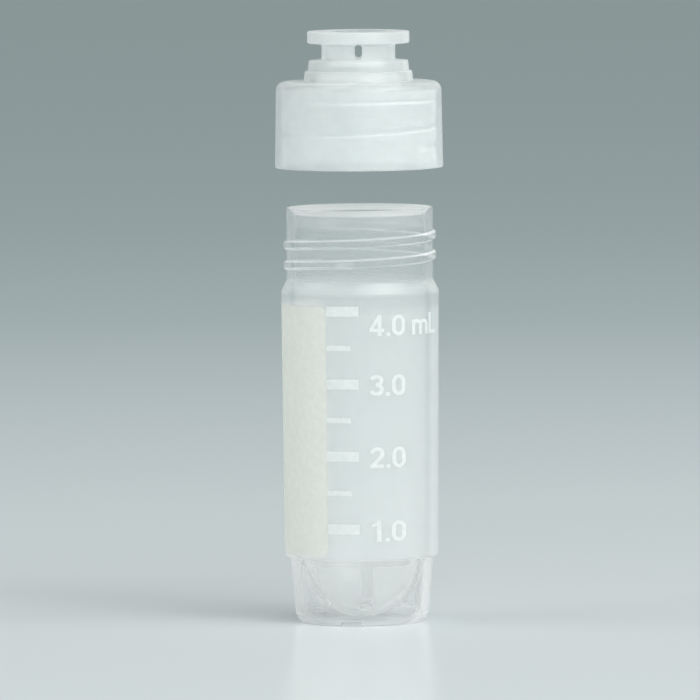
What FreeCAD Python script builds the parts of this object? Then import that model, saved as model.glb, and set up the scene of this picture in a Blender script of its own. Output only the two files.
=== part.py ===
"""Cryogenic vial with an external thread: moulded tube, sealing gasket and screw cap.

Millimetres, +Z up. The origin is on the vial's axis, on the surface that it stands on.
The cap is modelled taken off, straight above the mouth.
"""
import FreeCAD
import Part
import math
import os

V = FreeCAD.Vector
ORIGIN = V(0, 0, 0)
UP = V(0, 0, 1)

# How far a cutting shape reaches past what it cuts
overshoot = 1.0
# The most of a straight edge's length that the rounding at one of its ends takes
largest_rounding_share = 0.48

# Tube: heights
tube_height = 41.5
neck_height = 7.2
shoulder_height = 1.1
foot_height = 6.65

# Tube: body and neck. The body tapers down to the foot, so that it leaves its mould.
body_top_diameter = 15.74
body_low_diameter = 15.32
body_wall = 1.2
neck_diameter = 14.65
neck_wall = 0.725
rim_rounding = 0.22
mouth_rounding = 0.3
body_edge_rounding = 0.3

# Tube: round bottom
bottom_gap_to_skirt = 0.2
bottom_wall = 1.05
bottom_flank_radius = 9.0
bottom_above_floor = 0.45

# Tube: foot skirt that the vial stands on
foot_step = 0.51
foot_step_rounding = 0.15
foot_taper = 0.45
foot_bend_height = 1.3
foot_rounding = 1.7
foot_wall = 0.65
foot_wall_rounding = 0.5
foot_land_width = 0.55
foot_groove_width = 0.26

# Tube: notches in the foot's rim, and star ribs between the skirt and the round bottom
notch_count = 3
notch_width = 2.4
notch_height = 0.48
notch_first_angle = -101.0
rib_count = 6
rib_width = 1.2
rib_low = 1.6
rib_inner_radius = 4.2
rib_first_angle = -85.0

# Thread, right-handed, one start. A ridge is wider at its root than at its crest.
thread_pitch = 2.0
tube_thread_height = 0.295
tube_thread_root_width = 1.05
tube_thread_crest_width = 0.5
tube_thread_turns = 2.1
tube_thread_start_angle = 90.0
tube_thread_above_neck = 0.95
cap_thread_root_width = 0.85
cap_thread_crest_width = 0.35
cap_thread_turns = 1.5
cap_thread_above_rim = 2.0
thread_crest_clearance = 0.13
thread_root_clearance = 0.095
thread_root_sunk = 0.1
thread_fade_angle = 22.0
thread_fade_height = 1.92
thread_fade_reach = 2.5

# Cap: the height at which it is held above the mouth, and its outside
cap_gap_above_mouth = 4.0
cap_skirt_low_wall = 0.65
cap_skirt_top_wall = 0.5
cap_top_wall = 0.8
cap_shoulder_rounding = 0.9
cap_edge_rounding = 0.15
lower_step_diameter = 10.95
lower_step_height = 1.05
upper_step_ledge = 0.4
upper_step_height = 1.05
step_taper = 0.12
hub_neck_diameter = 7.4
hub_neck_height = 1.7
hub_corner_rounding = 0.3
hub_flange_diameter = 10.2
hub_flange_height = 1.2

# Cap: windows in the hub's neck, the recess that they look into, and the inside
window_count = 4
window_width = 0.72
window_height = 1.5
window_below_flange = 0.05
window_first_angle = -90.0
hub_neck_wall = 1.0
recess_depth = 3.5
cap_gap_above_shoulder = 0.2
cap_core_diameter = 8.4
cap_core_rounding = 0.4
cap_crown_wall = 0.9
cap_mouth_chamfer = 0.2
bead_height = 0.25
bead_width = 0.5
bead_rounding = 0.1

# Gasket: lies against the cap's ceiling and is held there by the bead
gasket_thickness = 0.8
gasket_width = 2.6
gasket_side_clearance = 0.1
gasket_bead_clearance = 0.05

# Heights and radii that follow
neck_low_z = tube_height - neck_height
shoulder_low_z = neck_low_z - shoulder_height
neck_radius = neck_diameter / 2
mouth_radius = neck_radius - neck_wall
body_low_radius = body_low_diameter / 2
bore_low_radius = body_low_radius - body_wall
foot_top_radius = body_low_radius - foot_step
foot_bend_radius = foot_top_radius - foot_taper
skirt_top_radius = foot_top_radius - foot_wall
bottom_radius = skirt_top_radius - bottom_gap_to_skirt
bottom_z = bottom_above_floor + bottom_radius
bottom_inner_radius = bottom_radius - bottom_wall
tube_crest_radius = neck_radius + tube_thread_height
tube_thread_start_z = neck_low_z + tube_thread_above_neck

cap_reach_over_neck = neck_height - cap_gap_above_shoulder
cap_low_z = tube_height + cap_gap_above_mouth
gasket_low_z = cap_low_z + cap_reach_over_neck
cap_ceiling_z = gasket_low_z + gasket_thickness
cap_shoulder_z = cap_ceiling_z + cap_top_wall
lower_step_z = cap_shoulder_z + lower_step_height
upper_step_z = lower_step_z + upper_step_height
hub_flange_z = upper_step_z + hub_neck_height
cap_top_z = hub_flange_z + hub_flange_height
upper_step_radius = lower_step_diameter / 2 - upper_step_ledge
cap_bore_radius = tube_crest_radius + thread_crest_clearance
cap_crest_radius = neck_radius + thread_root_clearance


def point(r, z):
    return V(r, 0, z)


def line(start, end):
    return Part.LineSegment(start, end).toShape()


def arc_about(centre, start, end):
    """The shorter arc from start to end about centre."""
    middle = ((start - centre) + (end - centre)).normalize() * (start - centre).Length
    return Part.Arc(start, centre + middle, end).toShape()


def rounded_path(corners):
    """Straight edges through corners of (r, z, rounding). A rounding stays within its two edges."""
    points = [point(r, z) for r, z, _ in corners]
    edges = []
    here = points[0]
    for before, corner, after, (_, _, rounding) in zip(points, points[1:], points[2:], corners[1:]):
        into = before - corner
        out = after - corner
        room = largest_rounding_share * min(into.Length, out.Length)
        into.normalize()
        out.normalize()
        half_angle = into.getAngle(out) / 2
        reach = min(rounding / math.tan(half_angle), room)
        if reach <= 0:
            edges.append(line(here, corner))
            here = corner
            continue
        start = corner + into * reach
        end = corner + out * reach
        centre = corner + (into + out).normalize() * (reach / math.cos(half_angle))
        edges.append(line(here, start))
        edges.append(arc_about(centre, start, end))
        here = end
    edges.append(line(here, points[-1]))
    return edges


def turned(edges):
    """The solid of revolution of a closed outline about the vial's axis."""
    outline = Part.Wire(Part.__sortEdges__(edges))
    return Part.Face(outline).revolve(ORIGIN, UP, 360)


def polar(radius, angle_deg, z=0.0):
    angle = math.radians(angle_deg)
    return V(radius * math.cos(angle), radius * math.sin(angle), z)


def around(shape, count, first_angle):
    """Copies of a shape drawn along +X, evenly spaced about the axis."""
    copies = []
    for index in range(count):
        copy = shape.copy()
        copy.rotate(ORIGIN, UP, first_angle + 360.0 * index / count)
        copies.append(copy)
    return Part.makeCompound(copies)


def thread_fade(root_radius, crest_radius, end_angle, inward_turn, z):
    """The wedge that is cut off a thread's end, so that it rises from its wall gently."""
    root = polar(root_radius, end_angle)
    crest = polar(crest_radius, end_angle + inward_turn * thread_fade_angle)
    beyond = crest + (root - crest) * thread_fade_reach
    away = math.copysign(2 * thread_pitch, crest_radius - root_radius)
    aside = polar(away, end_angle + inward_turn * thread_fade_angle / 2)
    corners = [crest, beyond, beyond + aside, crest + aside, crest]
    wedge = Part.Face(Part.makePolygon(corners)).extrude(UP * thread_fade_height)
    wedge.translate(UP * (z - thread_fade_height / 2))
    return wedge


def thread_ridge(root_radius, crest_radius, root_width, crest_width, turns, start_angle, start_z):
    """A thread's ridge on the wall at root_radius. It reaches a little into the wall."""
    sunk = math.copysign(thread_root_sunk, root_radius - crest_radius)
    base = root_radius + sunk
    section = [
        point(base, -root_width / 2),
        point(root_radius, -root_width / 2),
        point(crest_radius, -crest_width / 2),
        point(crest_radius, crest_width / 2),
        point(root_radius, root_width / 2),
        point(base, root_width / 2),
        point(base, -root_width / 2),
    ]
    path = Part.Wire(Part.makeHelix(thread_pitch, thread_pitch * turns, root_radius).Edges)
    sweep = Part.BRepOffsetAPI.MakePipeShell(path)
    sweep.setBiNormalMode(UP)
    sweep.add(Part.makePolygon(section))
    sweep.build()
    sweep.makeSolid()
    ridge = sweep.shape()
    ridge.rotate(ORIGIN, UP, start_angle)
    ridge.translate(UP * start_z)
    end_angle = start_angle + 360.0 * turns
    end_z = start_z + thread_pitch * turns
    start_fade = thread_fade(root_radius, crest_radius, start_angle, 1, start_z)
    end_fade = thread_fade(root_radius, crest_radius, end_angle, -1, end_z)
    return ridge.cut(start_fade).cut(end_fade)


def tube_outside():
    """The tube as if it were filled: body, neck and foot, with the groove inside the foot's skirt."""
    # the groove's top is where it has become foot_groove_width wide
    groove_inner_radius = skirt_top_radius - foot_groove_width
    groove_z = bottom_z - math.sqrt(bottom_radius**2 - groove_inner_radius**2)
    bend_centre = point(foot_bend_radius - foot_rounding, foot_bend_height)
    land_outer_radius = bend_centre.x + math.sqrt(foot_rounding**2 - foot_bend_height**2)
    land = point(land_outer_radius, 0)
    bend = point(foot_bend_radius, foot_bend_height)
    lowest = point(0, bottom_above_floor)
    groove_corner = point(groove_inner_radius, groove_z)
    inside_of_foot = [
        (groove_inner_radius, groove_z, 0),
        (skirt_top_radius, groove_z, 0),
        (foot_bend_radius - foot_wall, foot_bend_height, foot_wall_rounding),
        (land_outer_radius - foot_land_width, 0, 0),
        (land_outer_radius, 0, 0),
    ]
    outside = [
        (foot_bend_radius, foot_bend_height, 0),
        (foot_top_radius, foot_height, foot_step_rounding),
        (body_low_radius, foot_height, body_edge_rounding),
        (body_top_diameter / 2, shoulder_low_z, body_edge_rounding),
        (neck_radius, neck_low_z, body_edge_rounding),
        (neck_radius, tube_height, rim_rounding),
        (0, tube_height, 0),
    ]
    edges = [arc_about(point(0, bottom_z), lowest, groove_corner)]
    edges += rounded_path(inside_of_foot)
    edges.append(arc_about(bend_centre, land, bend))
    edges += rounded_path(outside)
    edges.append(line(point(0, tube_height), lowest))
    return turned(edges)


def tube_bore():
    """The space inside the tube: a ball-ended bore that flares gently from the round tip."""
    flank_reach = bottom_flank_radius - bottom_inner_radius
    flank_centre_r = bore_low_radius - bottom_flank_radius
    flank_z = bottom_z + math.sqrt(flank_reach**2 - flank_centre_r**2)
    flank_centre = point(flank_centre_r, flank_z)
    tip_centre = point(0, bottom_z)
    meeting = tip_centre + (tip_centre - flank_centre).normalize() * bottom_inner_radius
    tip = point(0, bottom_z - bottom_inner_radius)
    above = tube_height + rim_rounding
    flare = mouth_radius + 2 * rim_rounding
    walls = [
        (bore_low_radius, flank_z, 0),
        (mouth_radius, tube_height - rim_rounding, mouth_rounding),
        (flare, tube_height + rim_rounding, 0),
        (0, above, 0),
    ]
    edges = [arc_about(tip_centre, tip, meeting)]
    edges.append(arc_about(flank_centre, meeting, point(bore_low_radius, flank_z)))
    edges += rounded_path(walls)
    edges.append(line(point(0, above), tip))
    return turned(edges)


def foot_ribs():
    """Upright star ribs that join the round bottom to the foot's skirt."""
    lean = foot_taper / (foot_height - foot_bend_height)
    outer_low = foot_bend_radius + lean * (rib_low - foot_bend_height) - foot_wall / 2
    outer_top = foot_top_radius - foot_wall / 2
    corners = [
        point(rib_inner_radius, rib_low),
        point(outer_low, rib_low),
        point(outer_top, foot_height),
        point(rib_inner_radius, foot_height),
        point(rib_inner_radius, rib_low),
    ]
    rib = Part.Face(Part.makePolygon(corners)).extrude(V(0, rib_width, 0))
    rib.translate(V(0, -rib_width / 2, 0))
    return around(rib, rib_count, rib_first_angle)


def foot_notches():
    """Shallow notches across the foot's rim, which let air and water out from under it."""
    inner = foot_bend_radius - foot_rounding
    notch = Part.makeBox(foot_rounding + overshoot, notch_width, notch_height + overshoot)
    notch.translate(V(inner, -notch_width / 2, -overshoot))
    return around(notch, notch_count, notch_first_angle)


def make_tube():
    thread = thread_ridge(
        neck_radius,
        tube_crest_radius,
        tube_thread_root_width,
        tube_thread_crest_width,
        tube_thread_turns,
        tube_thread_start_angle,
        tube_thread_start_z,
    )
    filled = tube_outside().fuse([foot_ribs(), thread])
    return filled.cut(tube_bore()).cut(foot_notches())


def cap_outside():
    """The cap as if it were filled, with its skirt, shoulder, two steps and spool-shaped hub."""
    corners = [
        (0, cap_low_z, 0),
        (cap_bore_radius + cap_skirt_low_wall, cap_low_z, cap_edge_rounding),
        (cap_bore_radius + cap_skirt_top_wall, cap_shoulder_z, cap_shoulder_rounding),
        (lower_step_diameter / 2, cap_shoulder_z, cap_edge_rounding),
        (lower_step_diameter / 2 - step_taper, lower_step_z, cap_edge_rounding),
        (upper_step_radius, lower_step_z, cap_edge_rounding),
        (upper_step_radius - step_taper, upper_step_z, cap_edge_rounding),
        (hub_neck_diameter / 2, upper_step_z, hub_corner_rounding),
        (hub_neck_diameter / 2, hub_flange_z, hub_corner_rounding),
        (hub_flange_diameter / 2, hub_flange_z, cap_edge_rounding),
        (hub_flange_diameter / 2, cap_top_z, cap_edge_rounding),
        (0, cap_top_z, 0),
    ]
    edges = rounded_path(corners)
    edges.append(line(point(0, cap_top_z), point(0, cap_low_z)))
    return turned(edges)


def cap_inside():
    """The space inside the cap: bore, retaining bead, gasket seat and the core under the hub."""
    bead_top_z = gasket_low_z - gasket_bead_clearance
    bead_radius = cap_bore_radius - bead_height
    core_radius = cap_core_diameter / 2
    core_top_z = cap_top_z - recess_depth - cap_crown_wall
    below = cap_low_z - overshoot
    chamfer_radius = cap_bore_radius + cap_mouth_chamfer
    corners = [
        (0, below, 0),
        (chamfer_radius, below, 0),
        (chamfer_radius, cap_low_z, 0),
        (cap_bore_radius, cap_low_z + cap_mouth_chamfer, 0),
        (cap_bore_radius, bead_top_z - bead_width, 0),
        (bead_radius, bead_top_z - bead_width / 2, bead_rounding),
        (cap_bore_radius, bead_top_z, 0),
        (cap_bore_radius, cap_ceiling_z, 0),
        (core_radius, cap_ceiling_z, 0),
        (core_radius, core_top_z, cap_core_rounding),
        (0, core_top_z, 0),
    ]
    edges = rounded_path(corners)
    edges.append(line(point(0, core_top_z), point(0, below)))
    return turned(edges)


def hub_recess():
    """The recess in the hub's top, and the windows through its neck."""
    recess = Part.makeCylinder(hub_neck_diameter / 2 - hub_neck_wall, recess_depth + overshoot)
    recess.translate(UP * (cap_top_z - recess_depth))
    arch = window_width / 2
    low_z = hub_flange_z - window_below_flange - window_height
    post = Part.makeBox(hub_neck_diameter, window_width, window_height - 2 * arch)
    post.translate(V(0, -arch, low_z + arch))
    window = post
    for z in (low_z + arch, low_z + window_height - arch):
        window = window.fuse(Part.makeCylinder(arch, hub_neck_diameter, V(0, 0, z), V(1, 0, 0)))
    return recess.fuse(around(window.removeSplitter(), window_count, window_first_angle))


def make_cap():
    start_z = cap_low_z + cap_thread_above_rim
    # the cap's ridge runs midway between the turns of the tube's ridge
    pitches_up = (start_z - tube_thread_start_z - thread_pitch / 2) / thread_pitch
    start_angle = tube_thread_start_angle + 360.0 * (pitches_up % 1.0)
    thread = thread_ridge(
        cap_bore_radius,
        cap_crest_radius,
        cap_thread_root_width,
        cap_thread_crest_width,
        cap_thread_turns,
        start_angle,
        start_z,
    )
    return cap_outside().cut(cap_inside()).fuse(thread).cut(hub_recess())


def make_gasket():
    outer = cap_bore_radius - gasket_side_clearance
    inner = outer - gasket_width
    ring = Part.makeCylinder(outer, gasket_thickness).cut(Part.makeCylinder(inner, gasket_thickness))
    ring.translate(UP * gasket_low_z)
    return ring


os.makedirs("parts", exist_ok=True)
for name, shape in (("tube", make_tube()), ("cap", make_cap()), ("gasket", make_gasket())):
    clean = shape.removeSplitter()
    print(name, len(clean.Solids), "solid", clean.isValid(), round(clean.Volume, 1), "mm3")
    clean.exportStep(f"parts/{name}.step")
travel = cap_gap_above_mouth + cap_reach_over_neck
print("the cap closes", travel, "mm further down, in", travel / thread_pitch, "turns")
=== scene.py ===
"""The looks of the cryogenic vial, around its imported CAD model. Metres, in the CAD's frame."""

import math

import bmesh
import bpy
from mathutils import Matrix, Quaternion, Vector
from mathutils.geometry import delaunay_2d_cdt


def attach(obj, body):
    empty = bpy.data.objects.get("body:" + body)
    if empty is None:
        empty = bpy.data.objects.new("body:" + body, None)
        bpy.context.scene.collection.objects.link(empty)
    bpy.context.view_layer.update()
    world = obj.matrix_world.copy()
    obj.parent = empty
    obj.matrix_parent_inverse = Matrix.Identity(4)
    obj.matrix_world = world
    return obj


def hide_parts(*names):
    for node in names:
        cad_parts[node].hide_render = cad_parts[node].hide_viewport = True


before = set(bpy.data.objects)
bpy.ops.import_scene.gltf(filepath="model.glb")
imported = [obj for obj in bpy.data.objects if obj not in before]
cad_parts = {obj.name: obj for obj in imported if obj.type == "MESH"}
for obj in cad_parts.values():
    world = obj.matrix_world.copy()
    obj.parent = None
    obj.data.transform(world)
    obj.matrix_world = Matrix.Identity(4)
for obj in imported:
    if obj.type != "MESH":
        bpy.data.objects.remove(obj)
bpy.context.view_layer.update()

# Lengths below are in mm, and become metres where a mesh or a node takes them.
MM = 0.001
MICRON = MM * MM

# Tube: its levels
FOOT_TOP = 6.65
BODY_TOP = 33.2
NECK_LOW = 34.3
RIM = 41.5

# Tube: outside radii. The body is a slender cone.
FOOT_RADIUS = 7.15
BODY_LOW_RADIUS = 7.66
BODY_TOP_RADIUS = 7.87
NECK_RADIUS = 7.325

# Tube: the bore, and the round bottom that hangs in the foot
BORE_LOW_RADIUS = 6.46
BORE_TOP_RADIUS = 6.6
BALL_Z = 6.75
BALL_RADIUS = 6.3
BALL_INNER_RADIUS = 5.25
FLANK_RADIUS = 9.0
FLANK_ANGLE = 47.36

# Tube: notches in the foot's rim, and star ribs between the skirt and the round bottom
NOTCH_ANGLES = (-101, 19, 139)
NOTCH_HEIGHT = 0.48
NOTCH_HALF_ANGLE = 10.5
NOTCH_SIDE_ANGLE = 0.1
RIB_COUNT = 6
RIB_FIRST_ANGLE = -85
RIB_WIDTH = 1.2

# Cap: its levels and radii
CAP_LOW = 45.5
BEAD_Z = 52.2
CEILING = 53.3
CAP_SHOULDER = 54.1
LOWER_STEP = 55.15
UPPER_STEP = 56.2
FLANGE_LOW = 57.9
CAP_TOP = 59.1
RECESS_LOW = 55.6
CAP_LOW_RADIUS = 8.4
CAP_TOP_RADIUS = 8.25
CAP_BORE_RADIUS = 7.75
HUB_RADIUS = 3.7
FLANGE_RADIUS = 5.1
RECESS_RADIUS = 2.7

# Cap: windows in the hub, each a slot with a round arch at both ends
WINDOW_ANGLES = (0, 90, 180, 270)
WINDOW_HALF_WIDTH = 0.36
UPPER_ARCH_Z = 57.49
LOWER_ARCH_Z = 56.71
WINDOW_REACH = (2.0, 4.6)

# Threads, right-handed, with one start. The lead-in is the angle over which a ridge fades in and out.
PITCH = 2.0
LEAD_IN = 22
TUBE_THREAD = {
    "first_angle": 90, "first_z": 35.25, "turns": 2.1, "height": 0.295, "root": 1.05, "crest": 0.5,
}
CAP_THREAD = {
    "first_angle": 315, "first_z": 47.5, "turns": 1.5, "height": 0.33, "root": 0.85, "crest": 0.35,
}

# All the way round in even steps, in degrees from the vial's right side
ROUND_STEPS = 216
ROUND = [360 * step / ROUND_STEPS for step in range(ROUND_STEPS)]

# A wall that turns by more than this many degrees has a crisp edge there.
CREASE_ANGLE = 32

# White print: ink thickness, and the width of the strips in which flat shapes follow the round body
INK = 0.02
INK_STRIP = 0.2


# ---------------------------------------------------------------- materials


def linear(hex_colour):
    """An sRGB colour such as "d4dddd" as linear RGBA."""
    parts = [int(hex_colour[i : i + 2], 16) / 255 for i in (0, 2, 4)]
    return [p / 12.92 if p <= 0.04045 else ((p + 0.055) / 1.055) ** 2.4 for p in parts] + [1.0]


def add_node(tree, kind, inputs=(), **settings):
    """A new node. An input given as a socket is linked, and any other is set."""
    made = tree.nodes.new(kind)
    for name, value in settings.items():
        setattr(made, name, value)
    for name, value in dict(inputs).items():
        if isinstance(value, bpy.types.NodeSocket):
            tree.links.new(value, made.inputs[name])
        else:
            made.inputs[name].default_value = value
    return made


def new_material(name):
    """An empty node material, with its tree, its output node and the point on the object."""
    material = bpy.data.materials.new(name)
    material.use_nodes = True
    tree = material.node_tree
    tree.nodes.clear()
    output = add_node(tree, "ShaderNodeOutputMaterial")
    where = add_node(tree, "ShaderNodeTexCoord").outputs["Object"]
    return material, tree, output, where


def following(tree, along, first, *changes, unit=MM):
    """A value that starts at first and changes over stretches of (start, end, new value), each of them
    straight, with level ground between. Starts and ends are in mm, unless another unit is given.
    A value may be a number or a socket."""
    here = first
    for start, end, value in changes:
        step = {
            "Value": along,
            "From Min": start * unit,
            "From Max": end * unit,
            "To Min": here,
            "To Max": value,
        }
        here = add_node(tree, "ShaderNodeMapRange", step).outputs["Result"]
    return here


def height_and_reach(tree, where):
    """A point's height, and its distance from the vial's axis."""
    z = add_node(tree, "ShaderNodeSeparateXYZ", {"Vector": where}).outputs["Z"]
    flat = add_node(tree, "ShaderNodeVectorMath", {0: where, 1: (1, 1, 0)}, operation="MULTIPLY").outputs[0]
    out = add_node(tree, "ShaderNodeVectorMath", {0: flat}, operation="LENGTH").outputs["Value"]
    return z, out


def cloudiness(tree, where, size, low, high, detail=2.0):
    """A soft noise from low to high whose blotches are about size mm across."""
    noise = {"Vector": where, "Scale": 1 / (size * MM), "Detail": detail}
    noise = add_node(tree, "ShaderNodeTexNoise", noise).outputs["Fac"]
    return following(tree, noise, low, (0.3, 0.7, high), unit=1)


def satin_bump(tree, where):
    """The skin of a part from a spark-eroded mould. Its real grain is 0.01 to 0.02 mm wide, too fine to
    show, and is drawn 0.12 mm wide. Under it, cooling leaves a slow unevenness, 3.5 mm wide."""
    wave = {"Vector": where, "Scale": 1 / (3.5 * MM), "Detail": 1.0}
    wave = {"Height": add_node(tree, "ShaderNodeTexNoise", wave).outputs["Fac"], "Distance": 30 * MICRON}
    grain = {"Vector": where, "Scale": 1 / (0.12 * MM), "Detail": 2.0}
    grain = {"Height": add_node(tree, "ShaderNodeTexNoise", grain).outputs["Fac"], "Distance": 2 * MICRON}
    grain["Normal"] = add_node(tree, "ShaderNodeBump", wave).outputs["Normal"]
    return add_node(tree, "ShaderNodeBump", grain).outputs["Normal"]


def milky_plastic(name, colour, milk, whiter, edge_milk, glow, shade, scatter, roughness):
    """A translucent moulding: a milky body that light wanders through, under a satin skin.
    milk is how much of it each surface shows, from 0, clear, to 1. whiter is how far its colour is on to
    white, and edge_milk how many times more of it a wall shows just inside its outline. glow is the
    share of the milk that is lit from behind, shade how much of it counts in a shadow, and scatter
    the reach of light in it. milk, whiter, edge_milk and shade may change over the part: they are then
    functions of the node tree and the place."""
    material, tree, output, where = new_material(name)
    milk, whiter, edge_milk, shade = (
        value(tree, where) if callable(value) else value for value in (milk, whiter, edge_milk, shade)
    )
    normal = satin_bump(tree, where)
    colour = linear(colour)
    if whiter:
        tint = {"Factor": whiter, 6: colour, 7: (1, 1, 1, 1)}
        colour = add_node(tree, "ShaderNodeMix", tint, data_type="RGBA").outputs[2]
    body = {
        "Base Color": colour,
        "Roughness": 0.6,
        "Specular IOR Level": 0.0,
        "Subsurface Weight": 1.0,
        "Subsurface Radius": (scatter, scatter, scatter),
        "Subsurface Scale": MM,
        "Normal": normal,
    }
    body = add_node(tree, "ShaderNodeBsdfPrincipled", body).outputs["BSDF"]
    lit = add_node(tree, "ShaderNodeBsdfTranslucent", {"Color": colour, "Normal": normal}).outputs["BSDF"]
    body = add_node(tree, "ShaderNodeMixShader", {0: glow, 1: body, 2: lit}).outputs["Shader"]

    # gap is the share of the view that gets through the milk. Just inside its outline a wall is looked
    # through lengthwise, as if the view crossed it more often, and shows most milk there.
    edge = add_node(tree, "ShaderNodeLayerWeight", {"Blend": 0.5, "Normal": normal}).outputs["Facing"]
    rise = {"Value": edge, "From Min": 0.46, "From Max": 0.64, "To Min": 0.0}
    rise["To Max"] = following(tree, edge, 1.0, (0.8, 1.0, 0.3), unit=1)
    rise = add_node(tree, "ShaderNodeMapRange", rise, interpolation_type="SMOOTHSTEP").outputs["Result"]
    way = {0: rise, 1: edge_milk, 2: 1.0}
    way = add_node(tree, "ShaderNodeMath", way, operation="MULTIPLY_ADD").outputs[0]
    gap = add_node(tree, "ShaderNodeMath", {0: 1.0, 1: milk}, operation="SUBTRACT").outputs[0]
    gap = add_node(tree, "ShaderNodeMath", {0: gap, 1: way}, operation="POWER").outputs[0]

    # the milk sends much of the light on, so it counts for less in a shadow
    shadow = add_node(tree, "ShaderNodeLightPath").outputs["Is Shadow Ray"]
    shade = following(tree, shadow, 1.0, (0, 1, shade), unit=1)
    gap = add_node(tree, "ShaderNodeMath", {0: gap, 1: shade}, operation="POWER").outputs[0]
    clear = add_node(tree, "ShaderNodeBsdfTransparent").outputs["BSDF"]
    seen = add_node(tree, "ShaderNodeMixShader", {0: gap, 1: body, 2: clear}).outputs["Shader"]

    # the skin mirrors 4% of the light head-on and 10% at its edges
    skin = {"Color": (1, 1, 1, 1), "Roughness": roughness, "Normal": normal}
    skin = add_node(tree, "ShaderNodeBsdfGlossy", skin).outputs["BSDF"]
    edge = add_node(tree, "ShaderNodeMath", {0: edge, 1: 4.0}, operation="POWER").outputs[0]
    edge = following(tree, edge, 0.04, (0, 1, 0.1), unit=1)
    whole = add_node(tree, "ShaderNodeMixShader", {0: edge, 1: seen, 2: skin}).outputs["Shader"]
    tree.links.new(whole, output.inputs["Surface"])
    return material


def tube_milk(tree, where):
    """The body's wall is 1.2 mm thick, and the foot's and the neck's about 0.7 mm, so those are clearer.
    The foot's rim and the shoulder, where the wall turns, look milkier than the straight walls."""
    z, out = height_and_reach(tree, where)
    foot = following(tree, z, 0.2, (0.6, 1.2, 0.065))
    body = following(tree, z, foot, (6.6, 6.7, 0.265), (31.0, 32.0, 0.165))
    wall = following(tree, z, body, (32.9, 33.3, 0.27), (33.7, 34.6, 0.08))
    # the round bottom inside the foot is as thick as the body
    ball = {0: where, 1: (0, 0, BALL_Z * MM)}
    ball = add_node(tree, "ShaderNodeVectorMath", ball, operation="DISTANCE").outputs["Value"]
    ball = following(tree, ball, following(tree, z, 0.12, (6.6, 6.7, 0.0)), (6.4, 6.5, 0.0))
    # the thread's ridge is milkier than the neck, and its upward-facing flank gets more milk than its
    # downward-facing one: painted light, lighter on top as if lit from above
    up = add_node(tree, "ShaderNodeTexCoord").outputs["Normal"]
    up = add_node(tree, "ShaderNodeSeparateXYZ", {"Vector": up}).outputs["Z"]
    ridge = following(tree, up, 0.14, (-0.3, 0.3, 0.36), unit=1)
    ridge = following(tree, z, 0.0, (34.4, 34.8, ridge))
    ridge = following(tree, out, 0.0, (7.33, 7.37, ridge), (7.58, 7.615, 0.0))
    # painted light: the bevel inside the mouth gets much more milk, so it shows as a bright band, as if it
    # caught the light
    painted_bright_bevel = following(tree, z, 0.0, (39.3, 39.8, 0.1), (40.8, 40.95, 0.9))
    painted_bright_bevel = following(tree, out, painted_bright_bevel, (7.15, 7.25, 0.0))
    for more in (cloudiness(tree, where, 4.0, -0.005, 0.005), ball, ridge, painted_bright_bevel):
        wall = add_node(tree, "ShaderNodeMath", {0: wall, 1: more}, operation="ADD").outputs[0]
    return wall


def tube_edges(tree, where):
    """The outside of the foot, the body and the neck shows its edges. The bore shows none, or each wall
    would be drawn twice."""
    z, out = height_and_reach(tree, where)
    foot = following(tree, out, 4.0, (6.62, 6.7, 15.0))
    wall = following(tree, z, 1.0, (33.7, 34.6, 2.0))
    wall = following(tree, out, 0.0, (6.9, 7.0, wall))
    return following(tree, z, foot, (6.6, 6.7, wall))


def tube_painted_light(tree, where):
    """Painted light: the foot's colour is whitened, most at its base, for the light it takes up from the
    table, and the rim's is whitened so it shows bright.
    """
    z, _ = height_and_reach(tree, where)
    return following(tree, z, 1.0, (2.0, 4.0, 0.5), (6.6, 6.7, 0.0), (40.8, 40.9, 1.0))


def tube_shade(tree, where):
    """The ribs and the round bottom in the foot bend light aside, so their shadow is deeper."""
    z, out = height_and_reach(tree, where)
    foot = following(tree, out, 2.25, (6.0, 6.1, 0.75))
    return following(tree, z, foot, (6.6, 6.7, 0.65))


def cap_milk(tree, where):
    """The crown is thicker than the skirt, and milkier."""
    z, out = height_and_reach(tree, where)
    wall = following(tree, z, 0.36, (53.4, 54.2, 0.5), (56.6, 57.6, 0.45), (57.7, 57.8, 0.55))
    # light gathers in the edges of the ridge inside the skirt
    ridge = following(tree, out, 0.12, (7.46, 7.52, 0.62), (7.66, 7.74, 0.12), (7.8, 7.9, 0.0))
    ridge = following(tree, z, ridge, (52.3, 52.4, 0.0))
    # the wall of the recess in the flange is thin
    recess = following(tree, z, 0.0, (57.7, 57.8, -0.42))
    recess = following(tree, out, recess, (2.75, 2.85, 0.0))
    for more in (cloudiness(tree, where, 3.0, -0.03, 0.03), ridge, recess):
        wall = add_node(tree, "ShaderNodeMath", {0: wall, 1: more}, operation="ADD").outputs[0]
    return wall


def gasket_milk(tree, where):
    """Silicone is cloudier than the plastic."""
    return cloudiness(tree, where, 1.5, 0.75, 0.82)


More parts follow.
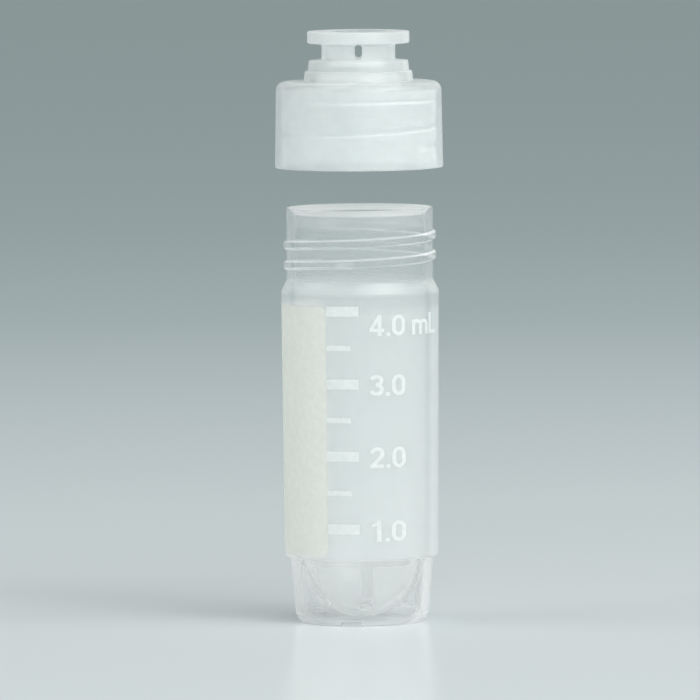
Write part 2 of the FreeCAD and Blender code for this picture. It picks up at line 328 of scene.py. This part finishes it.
def white_ink(name, colour, low, high):
    """Pad-printed ink, from low to high in cover: matt, a little uneven, with the body showing through.
    Its real grain is about 0.01 mm, too fine to show, and is drawn 0.08 mm wide."""
    material, tree, output, where = new_material(name)
    grain = add_node(tree, "ShaderNodeTexNoise", {"Vector": where, "Scale": 1 / (0.08 * MM)}).outputs["Fac"]
    normal = {"Height": grain, "Distance": 0.3 * MICRON}
    normal = add_node(tree, "ShaderNodeBump", normal).outputs["Normal"]
    paint = {"Base Color": linear(colour), "Roughness": 0.55, "Normal": normal}
    paint = add_node(tree, "ShaderNodeBsdfPrincipled", paint).outputs["BSDF"]
    lit = {"Color": linear(colour), "Normal": normal}
    lit = add_node(tree, "ShaderNodeBsdfTranslucent", lit).outputs["BSDF"]
    ink = add_node(tree, "ShaderNodeMixShader", {0: 0.25, 1: paint, 2: lit}).outputs["Shader"]
    cover = cloudiness(tree, where, 0.6, low, high, detail=1.0)
    clear = add_node(tree, "ShaderNodeBsdfTransparent").outputs["BSDF"]
    whole = add_node(tree, "ShaderNodeMixShader", {0: cover, 1: clear, 2: ink}).outputs["Shader"]
    tree.links.new(whole, output.inputs["Surface"])
    return material


# ---------------------------------------------------------------- moulded walls


def arc(centre, radius, start, end):
    """Points on an arc about a centre (r, z), from start to end in degrees."""
    steps = max(2, math.ceil(abs(end - start) / 6))
    turned = [math.radians(start + (end - start) * step / steps) for step in range(steps + 1)]
    return [(centre[0] + radius * math.cos(a), centre[1] + radius * math.sin(a)) for a in turned]


def rounded(corners):
    """The outline through corners of (r, z, rounding), with its two ends left out."""
    outline = []
    for before, (r, z, rounding), after in zip(corners, corners[1:], corners[2:]):
        corner = Vector((r, z))
        into = Vector(before[:2]) - corner
        out = Vector(after[:2]) - corner
        half = into.angle(out) / 2
        # a rounding takes less than half of each of its two edges
        reach = min(rounding / math.tan(half), 0.48 * into.length, 0.48 * out.length)
        if reach == 0:
            outline.append((r, z))
            continue
        start = into.normalized() * reach
        end = out.normalized() * reach
        centre = (start + end).normalized() * (reach / math.cos(half))
        first = math.degrees(math.atan2(*(start - centre).yx))
        last = math.degrees(math.atan2(*(end - centre).yx))
        last = first + (last - first + 180) % 360 - 180
        outline += arc(corner + centre, (start - centre).length, first, last)
    return outline


def levels(r, low, high, step):
    """Points up or down a straight wall, so that a thread can stand out of it."""
    count = round(abs(high - low) / step)
    return [(r, low + (high - low) * i / count) for i in range(count + 1)]


def smooth_step(value):
    value = min(max(value, 0.0), 1.0)
    return value * value * (3 - 2 * value)


def thread(angle, z, first_angle, first_z, turns, height, root, crest):
    """How far a thread's ridge stands out of its wall at an angle and a height."""
    share = (angle - first_angle) / 360
    turn = share + round((z - first_z) / PITCH - share)
    aside = abs(z - first_z - PITCH * turn)
    flank = smooth_step((root / 2 - aside) / ((root - crest) / 2))
    fade = smooth_step(min(turn, turns - turn) * 360 / LEAD_IN)
    return height * flank * fade


def lathed(outline, angles, shape):
    """A bmesh turned from an outline that starts and ends on the axis. shape(angle, r, z) gives r and z."""
    made = bmesh.new()
    rings = []
    for r, z in outline[1:-1]:
        ring = []
        for angle in angles:
            a = math.radians(angle)
            out, up = shape(angle, r, z)
            ring.append(made.verts.new((out * math.cos(a) * MM, out * math.sin(a) * MM, up * MM)))
        rings.append(ring)
    around = list(zip(range(len(angles)), [*range(1, len(angles)), 0]))
    for low, high in zip(rings, rings[1:]):
        for i, j in around:
            made.faces.new((low[i], low[j], high[j], high[i]))
    for end, ring in ((outline[0], rings[0]), (outline[-1], rings[-1])):
        tip = made.verts.new((0, 0, end[1] * MM))
        for i, j in around:
            made.faces.new((tip, ring[i], ring[j]))
    bmesh.ops.recalc_face_normals(made, faces=made.faces)
    return made


def slab(made, near, far):
    """Adds a solid to a bmesh between two outlines of as many points each."""
    near, far = ([made.verts.new(point * MM) for point in outline] for outline in (near, far))
    made.faces.new(near)
    made.faces.new(far)
    for i in range(len(near)):
        j = (i + 1) % len(near)
        made.faces.new((near[i], near[j], far[j], far[i]))


def piece_of(made, name):
    """A bmesh as an object in the scene."""
    mesh = bpy.data.meshes.new(name)
    made.to_mesh(mesh)
    made.free()
    piece = bpy.data.objects.new(name, mesh)
    bpy.context.scene.collection.objects.link(piece)
    return piece


def moulded(node, wall, extra, operation, material):
    """The piece that stands for a CAD node: its wall with extra shapes joined on or cut out."""
    piece = piece_of(wall, node + "_wall")
    tool = piece_of(extra, node + "_extra")
    join = piece.modifiers.new("join", "BOOLEAN")
    join.operation = operation
    join.object = tool
    view = bpy.context.evaluated_depsgraph_get()
    piece.data = bpy.data.meshes.new_from_object(piece.evaluated_get(view))
    piece.modifiers.clear()
    bpy.data.objects.remove(tool)
    piece.data.shade_smooth()
    piece.data.set_sharp_from_angle(angle=math.radians(CREASE_ANGLE))
    piece.data.materials.clear()
    piece.data.materials.append(material)
    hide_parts(node)
    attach(piece, node)


def add_tube(material):
    """The tube: skirted foot around a round bottom, body, shoulder, and neck with its thread."""
    notch_reach = NOTCH_HALF_ANGLE + NOTCH_SIDE_ANGLE

    def shape(angle, r, z):
        # the ridge stands out of the neck's outside
        if 7.3 < r and 34.5 < z < 40.5:
            r += thread(angle, z, **TUBE_THREAD)
        in_notch = any(abs((angle - notch + 180) % 360 - 180) < notch_reach for notch in NOTCH_ANGLES)
        if z < NOTCH_HEIGHT and r > 5 and in_notch:
            z = NOTCH_HEIGHT
        return r, z

    # under the round bottom, down the inside of the skirt, and over its rim
    outline = arc((0, BALL_Z), BALL_RADIUS, -90, -7.9)
    skirt_inside = [outline[-1], (6.24, 5.883, 0), (6.5, 5.883, 0.1), (6.05, 1.3, 0.5)]
    outline += rounded([*skirt_inside, (5.545, 0, 0), (6.0954, 0, 0)])
    outline += arc((5.0, 1.3), 1.7, -49.88, 0)
    # up the foot, the body and the shoulder
    foot_step = [outline[-1], (FOOT_RADIUS, FOOT_TOP, 0.15), (BODY_LOW_RADIUS, FOOT_TOP, 0.3)]
    shoulder = [(BODY_TOP_RADIUS, BODY_TOP, 0.3), (NECK_RADIUS, NECK_LOW, 0.3), (NECK_RADIUS, 36, 0)]
    outline += rounded(foot_step + shoulder)
    # up the neck and over the rim, with a bevel inside the mouth
    outline += levels(NECK_RADIUS, 34.55, 40.4, 0.05)
    rim = [(NECK_RADIUS, 40.4), (NECK_RADIUS, RIM, 0.22), (7.1, RIM, 0.05), (BORE_TOP_RADIUS, 40.9, 0.3)]
    outline += rounded([*rim, (BORE_LOW_RADIUS, 9.51, 0)])
    # down into the round bottom, by its flank
    outline += arc((BORE_LOW_RADIUS - FLANK_RADIUS, 9.509), FLANK_RADIUS, 0, -FLANK_ANGLE)
    outline += arc((0, BALL_Z), BALL_INNER_RADIUS, -FLANK_ANGLE, -90)[1:]
    sides = (-notch_reach, -NOTCH_HALF_ANGLE, NOTCH_HALF_ANGLE, notch_reach)
    edges = [(notch + side) % 360 for notch in NOTCH_ANGLES for side in sides]
    wall = lathed(outline, sorted(ROUND + edges), shape)

    ribs = bmesh.new()
    side = [(4.2, 1.6), (6.38, 1.6), (6.78, 6.2)] + arc((0, BALL_Z), 5.8, -5.4, -43.6)
    for index in range(RIB_COUNT):
        turn = Quaternion((0, 0, 1), math.radians(RIB_FIRST_ANGLE + 360 / RIB_COUNT * index))
        halves = (-RIB_WIDTH / 2, RIB_WIDTH / 2)
        slab(ribs, *([turn @ Vector((r, y, z)) for r, z in side] for y in halves))
    bmesh.ops.recalc_face_normals(ribs, faces=ribs.faces)
    moulded("tube", wall, ribs, "UNION", material)


def add_cap(material):
    """The cap: skirt with its thread and bead, shoulder, two steps, and hub with its windows."""

    def shape(angle, r, z):
        # the ridge stands into the bore
        if 7.7 < r < 7.8 and 46.5 < z < 51.6:
            r -= thread(angle, z, **CAP_THREAD)
        return r, z

    # down the inside: core, ceiling, place of the gasket, bead, and skirt
    outline = [(0, 54.7)]
    outline += rounded([
        (0, 54.7), (4.2, 54.7, 0.4), (4.2, CEILING, 0), (CAP_BORE_RADIUS, CEILING, 0),
        (CAP_BORE_RADIUS, BEAD_Z + 0.25, 0), (7.5, BEAD_Z, 0.1), (CAP_BORE_RADIUS, BEAD_Z - 0.25, 0),
    ])
    outline += levels(CAP_BORE_RADIUS, BEAD_Z - 0.25, 45.7, 0.08)
    # up the outside: skirt, shoulder, two steps, hub, flange, and down into the recess
    outline += rounded([
        (CAP_BORE_RADIUS, 45.7), (7.95, CAP_LOW, 0.05), (CAP_LOW_RADIUS, CAP_LOW, 0.15),
        (CAP_TOP_RADIUS, CAP_SHOULDER, 0.9), (5.475, CAP_SHOULDER, 0.15), (5.355, LOWER_STEP, 0.15),
        (5.075, LOWER_STEP, 0.15), (4.955, UPPER_STEP, 0.15), (HUB_RADIUS, UPPER_STEP, 0.3),
        (HUB_RADIUS, FLANGE_LOW, 0.3), (FLANGE_RADIUS, FLANGE_LOW, 0.15), (FLANGE_RADIUS, CAP_TOP, 0.15),
        (RECESS_RADIUS, CAP_TOP, 0.1), (RECESS_RADIUS, RECESS_LOW, 0.2), (0, RECESS_LOW),
    ])
    outline += [(0, RECESS_LOW)]
    wall = lathed(outline, ROUND, shape)

    windows = bmesh.new()
    arch = arc((0, UPPER_ARCH_Z), WINDOW_HALF_WIDTH, 0, 180)
    arch += arc((0, LOWER_ARCH_Z), WINDOW_HALF_WIDTH, 180, 360)
    for angle in WINDOW_ANGLES:
        turn = Quaternion((0, 0, 1), math.radians(angle))
        slab(windows, *([turn @ Vector((r, y, z)) for y, z in arch] for r in WINDOW_REACH))
    bmesh.ops.recalc_face_normals(windows, faces=windows.faces)
    moulded("cap", wall, windows, "DIFFERENCE", material)


def finish_gasket(material):
    """The gasket is the CAD's own, in silicone."""
    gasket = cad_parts["gasket"].data
    gasket.materials.clear()
    gasket.materials.append(material)


# ---------------------------------------------------------------- print on the body


def on_body(along, z, proud):
    """The point at an arc length along the body from its front, at a height, proud of it, all in metres."""
    low, high, narrow, wide = (x * MM for x in (FOOT_TOP, BODY_TOP, BODY_LOW_RADIUS, BODY_TOP_RADIUS))
    radius = narrow + (z - low) / (high - low) * (wide - narrow)
    angle = along / radius
    out = radius + proud
    return Vector((out * math.sin(angle), -out * math.cos(angle), z))


def rounded_patch(left, right, low, high, corner):
    """The outline of a rectangle with rounded corners, in arc length and height."""
    centres = ((right, low, -90), (right, high, 0), (left, high, 90), (left, low, 180))
    outline = []
    for x, z, start in centres:
        x += math.copysign(corner, (left + right) / 2 - x)
        z += math.copysign(corner, (low + high) / 2 - z)
        for step in range(5):
            angle = math.radians(start + step * 22.5)
            outline.append((x + corner * math.cos(angle), z + corner * math.sin(angle)))
    return outline


def wrapped(flat, name, material):
    """Ink from a flat bmesh in (arc, height): cut into strips, wrapped on the body and thickened."""
    low = min(v.co.x for v in flat.verts)
    high = max(v.co.x for v in flat.verts)
    strip = INK_STRIP * MM
    thick = INK * MM
    for index in range(1, math.ceil((high - low) / strip)):
        everything = flat.verts[:] + flat.edges[:] + flat.faces[:]
        cut = (low + index * strip, 0, 0)
        bmesh.ops.bisect_plane(flat, geom=everything, plane_co=cut, plane_no=(1, 0, 0))
    inner = flat.faces[:]
    bmesh.ops.recalc_face_normals(flat, faces=inner)
    made = bmesh.ops.extrude_face_region(flat, geom=inner)
    outer = {v for v in made["geom"] if isinstance(v, bmesh.types.BMVert)}
    # the ink's inner side stands a quarter of its thickness off the body, so the two never flicker
    for v in flat.verts:
        v.co = on_body(v.co.x, v.co.y, thick if v in outer else thick / 4)
    bmesh.ops.recalc_face_normals(flat, faces=flat.faces[:])
    piece = piece_of(flat, name)
    piece.data.materials.append(material)
    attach(piece, "tube")


def print_patches(name, patches, material):
    """Plain printed areas, each (left, right, low, high, corner)."""
    flat = bmesh.new()
    for patch in patches:
        outline = rounded_patch(*(value * MM for value in patch))
        flat.faces.new([flat.verts.new((x, z, 0)) for x, z in outline])
    wrapped(flat, name, material)


def bow(x, y, across, up, start, end):
    """Points on an elliptical arc about (x, y), from start to end in degrees."""
    steps = max(2, round(abs(end - start) / 12))
    angles = [math.radians(start + (end - start) * i / steps) for i in range(steps + 1)]
    return [(x + across * math.cos(a), y + up * math.sin(a)) for a in angles]


# Numerals and letters as pen strokes in a box one high: (advance, [(pen width, points of its path)])
PEN = 0.17
THIN_PEN = 0.15
LETTER_GAP = 0.09
ZERO = bow(0.31, 0.655, 0.225, 0.26, 180, 0) + bow(0.31, 0.345, 0.225, 0.26, 0, -180) + [(0.085, 0.655)]
GLYPHS = {
    "0": (0.62, [(PEN, ZERO)]),
    "1": (0.50, [(PEN, [(0.34, 0), (0.34, 1)]), (0.14, [(0.34, 0.91), (0.08, 0.74)])]),
    "2": (0.61, [
        (PEN, bow(0.31, 0.69, 0.22, 0.225, 168, -35) + [(0.13, 0.12)]),
        (PEN, [(0.02, 0.085), (0.59, 0.085)]),
    ]),
    "3": (0.62, [
        (PEN, bow(0.3, 0.725, 0.205, 0.19, 155, -90)),
        (PEN, bow(0.3, 0.3, 0.225, 0.215, 90, -155)),
    ]),
    "4": (0.66, [
        (PEN, [(0.455, 0), (0.455, 1)]),
        (THIN_PEN, [(0.43, 0.93), (0.08, 0.3)]),
        (THIN_PEN, [(0.02, 0.28), (0.65, 0.28)]),
    ]),
    ".": (0.17, [(PEN, [(0.085, 0), (0.085, 0.17)])]),
    "m": (0.98, [
        (PEN, [(0.085, 0), (0.085, 0.72)]),
        (PEN, bow(0.285, 0.475, 0.2, 0.17, 180, 0) + [(0.485, 0)]),
        (PEN, bow(0.69, 0.475, 0.2, 0.17, 180, 0) + [(0.89, 0)]),
    ]),
    "L": (0.62, [(PEN, [(0.085, 0), (0.085, 1)]), (PEN, [(0.03, 0.085), (0.62, 0.085)])]),
}


def pen_stroke(path, width):
    """The outlines that a round-jointed stroke covers: a box for each run, and a disc for each joint."""
    outlines = []
    for (x0, y0), (x1, y1) in zip(path, path[1:]):
        run = math.hypot(x1 - x0, y1 - y0)
        across = (-(y1 - y0) / run * width / 2, (x1 - x0) / run * width / 2)
        outlines.append([
            (x0 - across[0], y0 - across[1]), (x1 - across[0], y1 - across[1]),
            (x1 + across[0], y1 + across[1]), (x0 + across[0], y0 + across[1]),
        ])
    for x, y in path[1:-1]:
        outlines.append(bow(x, y, width / 2, width / 2, 0, 345))
    return outlines


def print_words(name, words, material):
    """Printed words, each (text, left, right, foot of the letters, their height)."""
    flat = bmesh.new()
    for text, left, right, low, height in words:
        outlines = []
        at = 0.0
        for letter in text:
            advance, strokes = GLYPHS[letter]
            for width, path in strokes:
                outlines += pen_stroke([(x + at, y) for x, y in path], width)
            at += advance + LETTER_GAP
        wide = at - LETTER_GAP
        points = [
            Vector(((left + x / wide * (right - left)) * MM, (low + y * height) * MM))
            for outline in outlines
            for x, y in outline
        ]
        numbers = iter(range(len(points)))
        faces = [[next(numbers) for _ in outline] for outline in outlines]
        # the strokes overlap, so their outlines are joined into one flat mesh
        made = delaunay_2d_cdt(points, [], faces, 1, 0.5 * MICRON)
        corners, _, triangles, _, _, covered_by = made
        corners = [flat.verts.new((p.x, p.y, 0)) for p in corners]
        for triangle, strokes in zip(triangles, covered_by):
            if strokes:
                flat.faces.new([corners[i] for i in triangle])
    wrapped(flat, name, material)


# Printed sizes: places across are arc lengths from the body's front, and places up are heights.
# The panel is (left, right, low, high, corner).
PANEL = (-21.0, -3.55, 6.95, 31.9, 0.6)
MARK_LEFT = -3.5
SHORT_MARK_HEIGHTS = (13.45, 20.7, 27.9)
NUMERAL_ENDS = (0.85, 4.7)
UNIT_ENDS = (5.6, 9.75)
LETTER_HEIGHT = 2.1
# each kind of mark: (right end, half its height, corner)
LONG_MARK = (-0.2, 0.5, 0.06)
SHORT_MARK = (-1.0, 0.25, 0.05)
# heights of the whole-millilitre marks, and of the feet of the numerals beside them
MARKS = ((9.85, 8.6, "1.0"), (17.1, 15.95, "2.0"), (24.3, 23.15, "3.0"), (31.55, 29.1, "4.0"))


def add_print(panel_ink, mark_ink):
    """The writing panel, the marks of the volume scale, and its numerals and unit."""
    print_patches("writing_panel", [PANEL], panel_ink)
    kinds = [(z, LONG_MARK) for z, _, _ in MARKS] + [(z, SHORT_MARK) for z in SHORT_MARK_HEIGHTS]
    marks = [(MARK_LEFT, right, z - half, z + half, corner) for z, (right, half, corner) in kinds]
    print_patches("volume_marks", marks, mark_ink)
    words = [(text, *NUMERAL_ENDS, foot, LETTER_HEIGHT) for _, foot, text in MARKS]
    words.append(("mL", *UNIT_ENDS, MARKS[-1][1], LETTER_HEIGHT))
    print_words("volume_numerals", words, mark_ink)


# ---------------------------------------------------------------- stage, light and camera

# Distance from the vial in metres, and the table's colour there, with the studio's light and shade painted
# into it
FLOOR_STOPS = [
    (0.02, "ebeff2"),
    (0.14, "eaf0f3"),
    (0.28, "e1e9ed"),
    (0.45, "cfdbde"),
    (0.67, "c6d3d5"),
    (0.98, "c8d7da"),
    (1.72, "dcebeb"),
]
# In metres too: how far the colours are spread, and the table's own radius
FLOOR_REACH = 2.0
FLOOR_RADIUS = 9.0


def floor_material():
    """Satin lacquer on a table top, its colour painted with the studio's light and shade: palest around the
    vial, greyer further out, and pale again beyond.
    Its gloss is faint, so the index of refraction is far under a lacquer's own."""
    material, tree, output, where = new_material("table_satin_lacquer")
    away = add_node(tree, "ShaderNodeVectorMath", {0: where}, operation="LENGTH").outputs["Value"]
    share = add_node(tree, "ShaderNodeMath", {0: away, 1: FLOOR_REACH}, operation="DIVIDE").outputs[0]
    colours = add_node(tree, "ShaderNodeValToRGB", {"Fac": share})
    ramp = colours.color_ramp.elements
    for end in (0, -1):
        distance, colour = FLOOR_STOPS[end]
        ramp[end].position = distance / FLOOR_REACH
        ramp[end].color = linear(colour)
    for distance, colour in FLOOR_STOPS[1:-1]:
        ramp.new(distance / FLOOR_REACH).color = linear(colour)
    top = {"Base Color": colours.outputs["Color"], "Roughness": 0.22, "IOR": 1.08}
    top = add_node(tree, "ShaderNodeBsdfPrincipled", top).outputs["BSDF"]
    tree.links.new(top, output.inputs["Surface"])
    return material


def add_floor():
    """The table top, a disc that reaches past the view."""
    disc = bmesh.new()
    bmesh.ops.create_circle(disc, cap_ends=True, radius=FLOOR_RADIUS, segments=96)
    table = piece_of(disc, "table")
    table.data.materials.append(floor_material())


# The lights face the vial's middle
MIDDLE_Z = 30


def add_softbox(name, azimuth, elevation, distance, width, height, power):
    """An area light that faces the vial. Azimuth is from the front towards the right, in degrees.
    Distance, width and height are in metres, and power in watts."""
    light = bpy.data.lights.new(name, "AREA")
    light.shape = "RECTANGLE"
    light.size = width
    light.size_y = height
    light.energy = power
    light.color = linear("f8fbf9")[:3]
    a = math.radians(azimuth)
    e = math.radians(elevation)
    aim = Vector((math.sin(a) * math.cos(e), -math.cos(a) * math.cos(e), math.sin(e)))
    box = bpy.data.objects.new(name, light)
    box.location = Vector((0, 0, MIDDLE_Z * MM)) + aim * distance
    box.rotation_mode = "QUATERNION"
    box.rotation_quaternion = aim.to_track_quat("Z", "Y")
    bpy.context.scene.collection.objects.link(box)


def add_world():
    """A grey studio for the camera and for reflections, and even fill light for the rest."""
    world = bpy.data.worlds.new("studio")
    world.use_nodes = True
    tree = world.node_tree
    tree.nodes.clear()
    rays = add_node(tree, "ShaderNodeLightPath").outputs
    seen = {0: rays["Is Camera Ray"], 1: rays["Is Glossy Ray"]}
    seen = add_node(tree, "ShaderNodeMath", seen, operation="MAXIMUM").outputs[0]
    fill = {"Color": linear("f2f6f5"), "Strength": 0.3}
    fill = add_node(tree, "ShaderNodeBackground", fill).outputs["Background"]
    wall = {"Color": linear("8b999a"), "Strength": 1.0}
    wall = add_node(tree, "ShaderNodeBackground", wall).outputs["Background"]
    whole = add_node(tree, "ShaderNodeMixShader", {0: seen, 1: fill, 2: wall}).outputs["Shader"]
    output = add_node(tree, "ShaderNodeOutputWorld")
    tree.links.new(whole, output.inputs["Surface"])
    bpy.context.scene.world = world


# The camera's place and aim in mm, its focal length in mm, and how far it leans in degrees
CAMERA_PLACE = (-1.04, -1000, 97.5)
CAMERA_AIM = (-1.04, 0, 27.2)
FOCAL_LENGTH = 515.6
CAMERA_LEAN = -0.4


def add_camera():
    """A long lens, a little above the vial and leaning slightly."""
    camera = bpy.data.objects.new("camera", bpy.data.cameras.new("camera"))
    camera.data.sensor_width = 36
    camera.data.lens = FOCAL_LENGTH
    camera.data.clip_start = 0.05
    camera.data.clip_end = 20
    camera.location = Vector(CAMERA_PLACE) * MM
    level = (Vector(CAMERA_AIM) * MM - camera.location).to_track_quat("-Z", "Y")
    camera.rotation_mode = "QUATERNION"
    camera.rotation_quaternion = level @ Quaternion((0, 0, 1), math.radians(CAMERA_LEAN))
    bpy.context.scene.collection.objects.link(camera)
    bpy.context.scene.camera = camera


# ---------------------------------------------------------------- the vial

# Natural polypropylene, injection moulded: a milky white that the backdrop shows through, under the
# soft shine that a satin mould leaves. The tube's wall is thin and so nearly clear.
add_tube(milky_plastic(
    "polypropylene_tube_satin_moulded", "f0f4f4", milk=tube_milk, whiter=tube_painted_light, edge_milk=tube_edges,
    glow=0.08, shade=tube_shade, scatter=2.0, roughness=0.3,
))
# The same plastic in the cap, which is whiter, with a duller skin.
add_cap(milky_plastic(
    "polypropylene_cap_satin_moulded", "f1f5f5", milk=cap_milk, whiter=None, edge_milk=0.4,
    glow=0.05, shade=0.75, scatter=0.6, roughness=0.36,
))
# Silicone rubber, compression moulded: cloudier than the plastic, with a dull skin.
finish_gasket(milky_plastic(
    "silicone_gasket_moulded", "eef3f3", milk=gasket_milk, whiter=None, edge_milk=1.0,
    glow=0.2, shade=0.6, scatter=1.5, roughness=0.45,
))
# Ink for writing on is thin and a warm white; the scale's ink is thicker and colder, and stands out.
# No cover lies on both sides of a quarter, because the render's noise filter leaves grain there.
add_print(
    panel_ink=white_ink("writing_panel_ink_pad_printed", "fdfcf4", 0.275, 0.3),
    mark_ink=white_ink("white_ink_pad_printed", "fafdfc", 0.52, 0.62),
)

add_floor()
add_softbox("front_softbox", azimuth=28, elevation=32, distance=1.3, width=1.1, height=1.1, power=12.0)
add_softbox("right_softbox", azimuth=60, elevation=48, distance=1.3, width=0.9, height=0.7, power=5.4)
add_softbox("left_softbox", azimuth=-80, elevation=25, distance=1.5, width=1.2, height=1.2, power=7.4)
add_world()
add_camera()
# a view through the closed vial crosses many clear walls
bpy.context.scene.cycles.transparent_max_bounces = 32
bpy.context.scene.view_settings.view_transform = "Standard"
